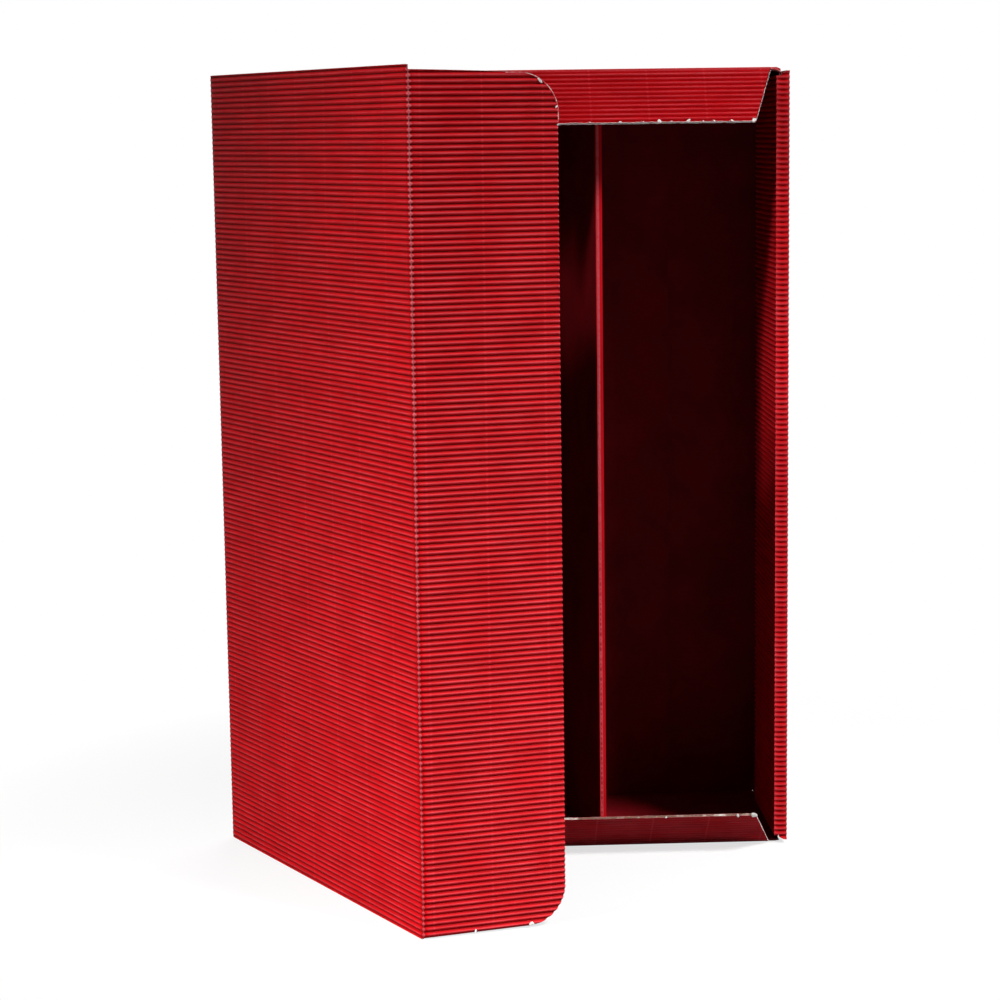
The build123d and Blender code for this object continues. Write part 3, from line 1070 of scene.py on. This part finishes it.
# %% Nicks where the flaps are torn
top_nicks = [
    (4.9, 0.9), (18.6, 1.2), (29.2, 0.8), (36.5, 2.0), (42.0, 0.9), (49.8, 1.8), (56.6, 0.7),
    (61.7, 1.0), (69.9, 1.3), (80.0, 2.2),
]
bottom_nicks = [(-12.0, 1.2), (38.0, 1.0), (72.0, 1.6), (79.6, 2.8)]
tuck_nicks = [
    (57.2, 362.7, 2.6, -24, 0.4), (64.3, 352.0, 1.3, 60, 0.5), (64.8, 344.5, 0.8, 0, 0.8),
    (49.3, 2.0, 2.2, 20, 0.8), (23.7, 1.7, 1.6, 100, 0.5),
]

fold_line, down, outward = flap_edge(TOP_LEAN, 1)
for i, (x, size) in enumerate(top_nicks):
    spot = fold_line + Vector((x, 0, 0)) + down * (FLAP - size * 0.25) + outward * (BOARD + HAIR)
    nick(f"top_flap_nick_{i + 1}", "tray", spot, outward, size, 47 * i)
fold_line, down, outward = flap_edge(BOTTOM_LEAN, -1)
for i, (x, size) in enumerate(bottom_nicks):
    spot = fold_line + Vector((x, 0, 0)) + down * (FLAP + 0.2) + outward * (BOARD * 0.8)
    nick(f"bottom_flap_nick_{i + 1}", "tray", spot, outward + down, size, 63 * i)
tuck_out = way(TUCK_WAY - 90)
for i, (along, up, size, spin, slim) in enumerate(tuck_nicks):
    spot = tuck_crease + way(TUCK_WAY) * along + Vector((0, 0, up)) + tuck_out * HAIR
    nick(f"tuck_flap_nick_{i + 1}", "tuck_flap", spot, tuck_out, size, spin, slim)
bpy.data.objects.remove(flake)
print("nicks", len(top_nicks), "top", len(bottom_nicks), "bottom", len(tuck_nicks), "tuck flap")

# %% [markdown]
# ## The cracked nose of the divider
#
# The divider's liner was folded round the nose outwards over hard flutes, so its dyed face cracked
# at each flute, and a row of pale specks runs down the left half of the nose. One speck is a small
# raised disc. An Array modifier repeats it at every flute, and the copies are then sized unevenly.

# %% Cracked paper
cracked_paper = new_material("cracked paper on the nose")
height = add_node(
    cracked_paper, "ShaderNodeSeparateXYZ",
    [add_node(cracked_paper, "ShaderNodeTexCoord", out="Object")], out="Z",
)
higher_up = add_node(cracked_paper, "ShaderNodeMapRange", [height, 0.11, 0.19, 0, 1])
tone = add_node(
    cracked_paper, "ShaderNodeMix", [higher_up, colour("#BC3440"), colour("#D85C68")],
    data_type="RGBA",
)
skin = dull_paper(cracked_paper, tone, flecks(cracked_paper, 0.5), 0.8, raised=0.3)
add_node(cracked_paper, "ShaderNodeOutputMaterial", {"Surface": skin})
print(cracked_paper.name, "has", len(cracked_paper.node_tree.nodes), "nodes")

# %% Specks on the nose
SPECKS, SPECK_RADIUS, SPECK_TALL, SPECK_RAISED = 149, 0.42, 2.2, 0.12
nose_out = Vector((0, -1, 0))
speck_spot = Vector((9.6, -41.5, 4.0))

bpy.ops.object.select_all(action="DESELECT")
bpy.ops.mesh.primitive_circle_add(vertices=7, radius=SPECK_RADIUS * MM, fill_type="TRIFAN")
specks = bpy.context.object
specks.name = specks.data.name = "nose_specks"
lay_on(specks, speck_spot + nose_out * JUST_PROUD, Vector((1, 0, 0)), Vector((0, 0, SPECK_TALL)))
pick(specks, np.linalg.norm(spots(specks) - np.array(speck_spot), axis=1) < 0.1)
bpy.ops.transform.translate(value=nose_out * SPECK_RAISED * MM)
leave()
row = specks.modifiers.new("one at each flute", "ARRAY")
row.use_relative_offset = False
row.use_constant_offset = True
row.constant_offset_displace = (0, 0, FLUTE * MM)
row.count = SPECKS
bpy.ops.object.modifier_apply(modifier=row.name)
luck = random.Random(4)
which = np.floor((spots(specks)[:, 2] - speck_spot.z + FLUTE / 2) / FLUTE)
for i in range(SPECKS):
    pick(specks, which == i)
    size = luck.uniform(0.45, 1.2)
    centre = speck_spot + Vector((luck.uniform(-0.2, 0.2), 0, i * FLUTE))
    bpy.ops.transform.resize(value=(size, 1, size), center_override=centre * MM)
    leave()
specks.data.materials.append(cracked_paper)
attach(specks, "tray")
print("specks", len(specks.data.polygons), "faces")

# %% [markdown]
# ## Floor, backdrop and light
#
# A sheet of pale paper lies under the box and curves up behind it, as in a small studio. What is
# seen of the paper is white, with the box's shadow near it. Other rays find it mid grey, so that
# it doesn't light the box.

# %% Studio paper
def seen_rays(material):
    """One for rays that show the background itself, straight on or by way of gloss or glass."""
    seen, *others = (
        add_node(material, "ShaderNodeLightPath", out=name)
        for name in ("Is Camera Ray", "Is Glossy Ray", "Is Transmission Ray")
    )
    for other in others:
        seen = add_node(material, "ShaderNodeMath", [seen, other], operation="MAXIMUM")
    return seen


studio_paper = new_material("pale studio paper")
seen = seen_rays(studio_paper)
grain = flecks(studio_paper, 1.7, 2.0)
seen_tone = add_node(
    studio_paper, "ShaderNodeMix", [grain, colour("#F4F4F4"), colour("#F8F8F8")], data_type="RGBA"
)
tone = add_node(
    studio_paper, "ShaderNodeMix", [seen, colour("#808080"), seen_tone], data_type="RGBA"
)
place = add_node(studio_paper, "ShaderNodeTexCoord", out="Object")
from_middle = add_node(studio_paper, "ShaderNodeVectorMath", [place], operation="LENGTH")
whiteness = add_node(studio_paper, "ShaderNodeMapRange", [from_middle, 0.12, 0.33, 0.7, 1])
seen_white = add_node(studio_paper, "ShaderNodeMath", [whiteness, seen], operation="MULTIPLY")
lit_paper = dull_paper(studio_paper, tone, grain, 0.9, raised=0.02)
plain_white = add_node(studio_paper, "ShaderNodeEmission", {"Strength": 1.0})
skin = add_node(studio_paper, "ShaderNodeMixShader", [seen_white, lit_paper, plain_white])
add_node(studio_paper, "ShaderNodeOutputMaterial", {"Surface": skin})
print(studio_paper.name, "has", len(studio_paper.node_tree.nodes), "nodes")

# %% Floor and backdrop
bpy.ops.object.select_all(action="DESELECT")
bpy.ops.mesh.primitive_plane_add(size=1, location=(0, -0.4, 0))
backdrop = bpy.context.object
backdrop.name = "studio_floor"
backdrop.scale = (5.0, 3.6, 1)
bpy.ops.object.transform_apply(location=True, rotation=True, scale=True)
pick(backdrop, spots(backdrop)[:, 1] > 0)
bpy.ops.mesh.extrude_region_move(TRANSFORM_OT_translate={"value": (0, 0, 2.6)})
leave()
pick(backdrop, (spots(backdrop)[:, 1] > 0) & (spots(backdrop)[:, 2] < 1))
bpy.ops.mesh.bevel(offset=0.6, segments=16, affect="EDGES")
leave()
bpy.ops.object.shade_smooth()
backdrop.data.materials.append(studio_paper)
print("backdrop", [round(side, 2) for side in backdrop.dimensions], "m")

# %% [markdown]
# Two soft lamps hang high in front, one at each side, with grids that narrow their beams. They are
# aimed low, so that the box's top stays a little darker, their light rakes across the flutes, and
# the deep inside of the box stays dark. A third lamp lights the back, and the world adds little.

# %% Lamps and world
def soft_lamp(name, size, power, spot, target, beam):
    """A square area lamp that faces its target, with a grid that narrows its beam."""
    data = bpy.data.lights.new(name, "AREA")
    data.size, data.energy, data.spread = size, power, math.radians(beam)
    lamp = bpy.data.objects.new(name, data)
    bpy.context.scene.collection.objects.link(lamp)
    lamp.location = spot
    lamp.rotation_euler = (Vector(target) - Vector(spot)).to_track_quat("-Z", "Y").to_euler()


soft_lamp("left_lamp", 0.35, 7.1, (-1.2, -0.75, 1.3), (-0.16, -0.6, -0.05), 50)
soft_lamp("right_lamp", 0.44, 4.2, (1.0, -0.9, 1.5), (0.09, -0.14, -0.41), 43.7)
soft_lamp("back_lamp", 0.9, 4, (0.3, 1.0, 1.3), (0, 0, 0.2), 90)

world = bpy.data.worlds.new("studio")
bpy.context.scene.world = world
world.use_nodes = True
world.node_tree.nodes.clear()
strength = add_node(world, "ShaderNodeMapRange", [seen_rays(world), 0, 1, 0.01, 1])
sky = add_node(world, "ShaderNodeBackground", {"Color": (1, 1, 1, 1), "Strength": strength})
add_node(world, "ShaderNodeOutputWorld", {"Surface": sky})
print("lamps", {lamp.name: round(lamp.energy, 1) for lamp in bpy.data.lights}, "W")

# %% [markdown]
# ## Last steps
#
# The view transform is Standard, so colours come out as they were written.

# %% Finish
bpy.context.scene.view_settings.view_transform = "Standard"
